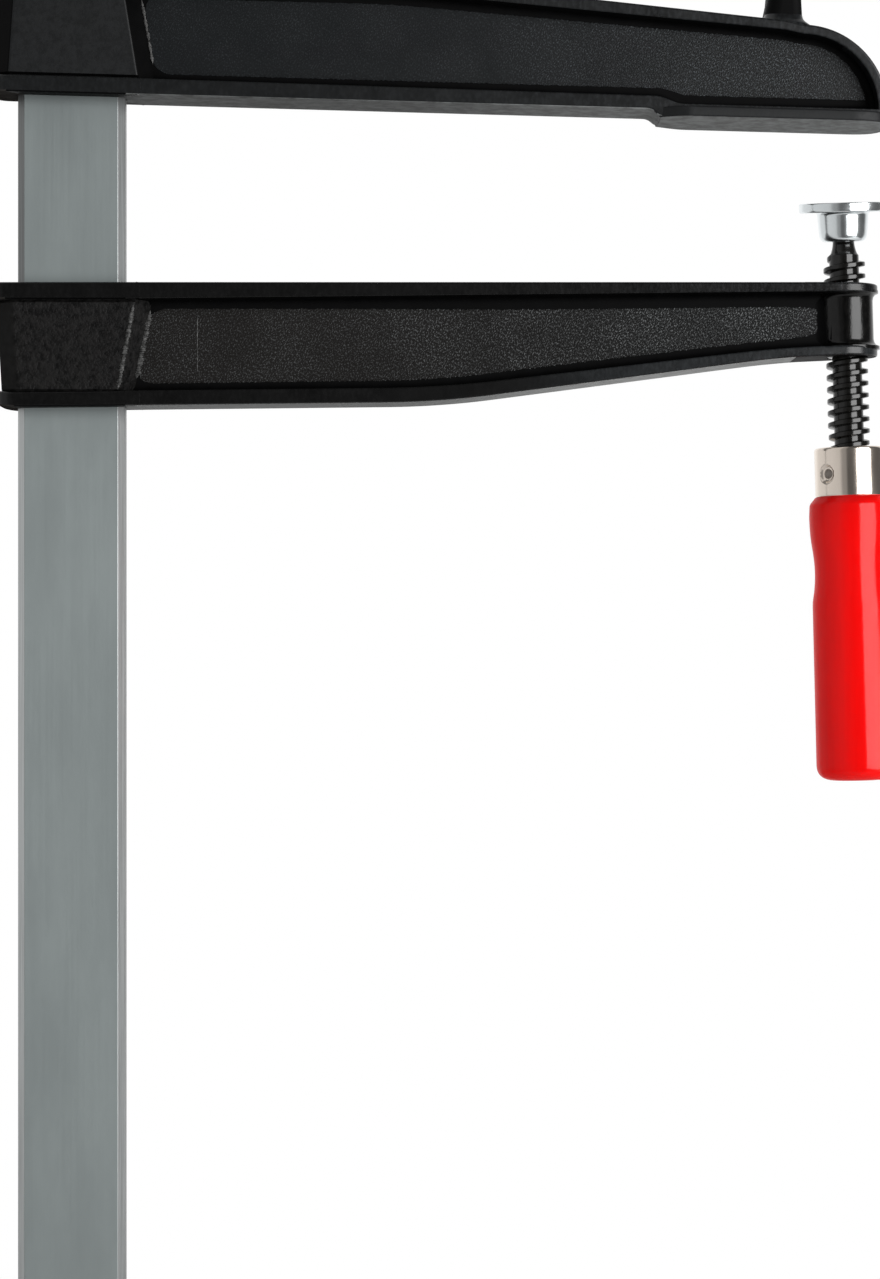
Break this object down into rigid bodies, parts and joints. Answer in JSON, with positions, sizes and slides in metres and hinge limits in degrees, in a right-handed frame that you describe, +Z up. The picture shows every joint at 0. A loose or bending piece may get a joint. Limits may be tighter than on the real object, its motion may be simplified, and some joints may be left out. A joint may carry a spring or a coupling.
{
  "type": "deep throat f-clamp",
  "caption": "Deep throat F-clamp: a fixed cast arm and a sliding cast arm on a flat steel bar, with a wooden-handled screw that drives a swivelling pressure plate.",
  "frame": {"origin": "where the screw's axis meets the fixed arm's jaw face", "axes": "+Z up along the bar, +X from the bar towards the jaw's free end, +Y to the clamp's back"},
  "size_m": [0.3827, 0.041, 0.5651],
  "materials": {
    "drawn_steel": "drawn, satin",
    "black_casting": "black, rough as cast on the webs and smoother on the rims",
    "black_steel": "black oxide",
    "plated_steel": "bright plated",
    "plated_cap": "bright plated",
    "pin_steel": "plain",
    "red_wood": "glossy lacquer"
  },
  "bodies": {
    "frame": {"bar": "drawn_steel", "bar_stop_pin": "pin_steel", "fixed_arm": "black_casting", "upper_arm_pin": "pin_steel", "lower_arm_pin": "pin_steel"},
    "sliding_arm": {"sliding_arm": "black_casting", "upper_grip_pin": "pin_steel", "lower_grip_pin": "pin_steel"},
    "swivel_ring": {"ball_ring": "pin_steel"},
    "spindle": {"spindle": "black_steel", "ferrule": "plated_cap", "ferrule_pin": "pin_steel", "handle": "red_wood"},
    "pressure_plate": {"pressure_plate": "plated_steel"}
  },
  "joints": [
    {"name": "arm_slide", "type": "slide", "parent": "frame", "child": "sliding_arm", "axis": [0, 0, 1], "range_m": [-0.37, 0]},
    {"name": "screw_feed", "type": "slide", "parent": "sliding_arm", "child": "swivel_ring", "axis": [-0.0297, 0, 0.9996], "range_m": [-0.0151, 0.0266]},
    {"name": "spindle_turn", "type": "hinge", "parent": "swivel_ring", "child": "spindle", "pos_m": [0.00127, 0, -0.04286], "axis": [-0.0297, 0, 0.9996], "range_deg": [-1080, 1908]},
    {"name": "plate_tilt", "type": "hinge", "parent": "swivel_ring", "child": "pressure_plate", "pos_m": [0.00127, 0, -0.04286], "axis": [0.9996, 0, 0.0297], "range_deg": [-16.5, 3.5]}
  ],
  "couplings": [
    {"joint": "screw_feed", "follows": "spindle_turn", "m_per_rad": 0.00079577}
  ]
}
